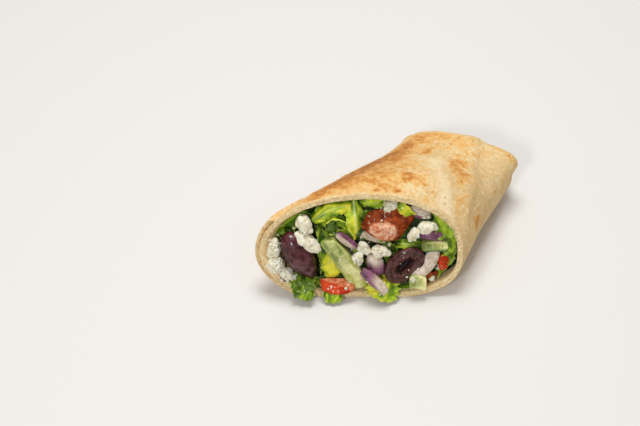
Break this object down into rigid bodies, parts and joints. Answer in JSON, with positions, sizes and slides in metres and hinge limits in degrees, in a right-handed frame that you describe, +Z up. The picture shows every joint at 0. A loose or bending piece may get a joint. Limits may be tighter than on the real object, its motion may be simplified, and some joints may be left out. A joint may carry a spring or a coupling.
{
  "type": "greek wrap half",
  "caption": "Half of a Greek salad wrap cut on the slant: a rolled flatbread round romaine, tomato, cucumber, olive, red onion and feta.",
  "frame": {"origin": "centre of the bounding box at the underside, on the surface that the wrap lies on", "axes": "+Z up; +X to the right along the cut; -Y the way the cut face looks, leaning back; the closed end of the roll points to +X +Y"},
  "size_m": [0.1236, 0.0955, 0.0501],
  "materials": {
    "bread": "toasted, matt",
    "lettuce": "fresh, waxy",
    "olive": "oily, glossy",
    "tomato": "wet",
    "cucumber": "wet",
    "onion": "wet",
    "feta": "crumbly, matt"
  },
  "bodies": {
    "root": {"tortilla": "bread", "romaine": "lettuce", "olive_left": "olive", "olive_right": "olive", "tomato_top": "tomato", "tomato_low": "tomato", "tomato_right": "tomato", "tomato_corner": "tomato", "cucumber_long": "cucumber", "cucumber_right": "cucumber", "cucumber_low": "cucumber", "onion_upper": "onion", "onion_middle": "onion", "onion_front": "onion", "onion_right": "onion", "onion_white": "onion", "onion_corner": "onion", "onion_pale": "onion", "onion_back": "onion", "feta_upper": "feta", "feta_wedge": "feta", "feta_left_high": "feta", "feta_left_low": "feta", "feta_left_corner": "feta", "feta_centre_a": "feta", "feta_centre_b": "feta", "feta_centre_c": "feta", "feta_right": "feta", "feta_right_low": "feta", "feta_top": "feta"}
  },
  "joints": []
}
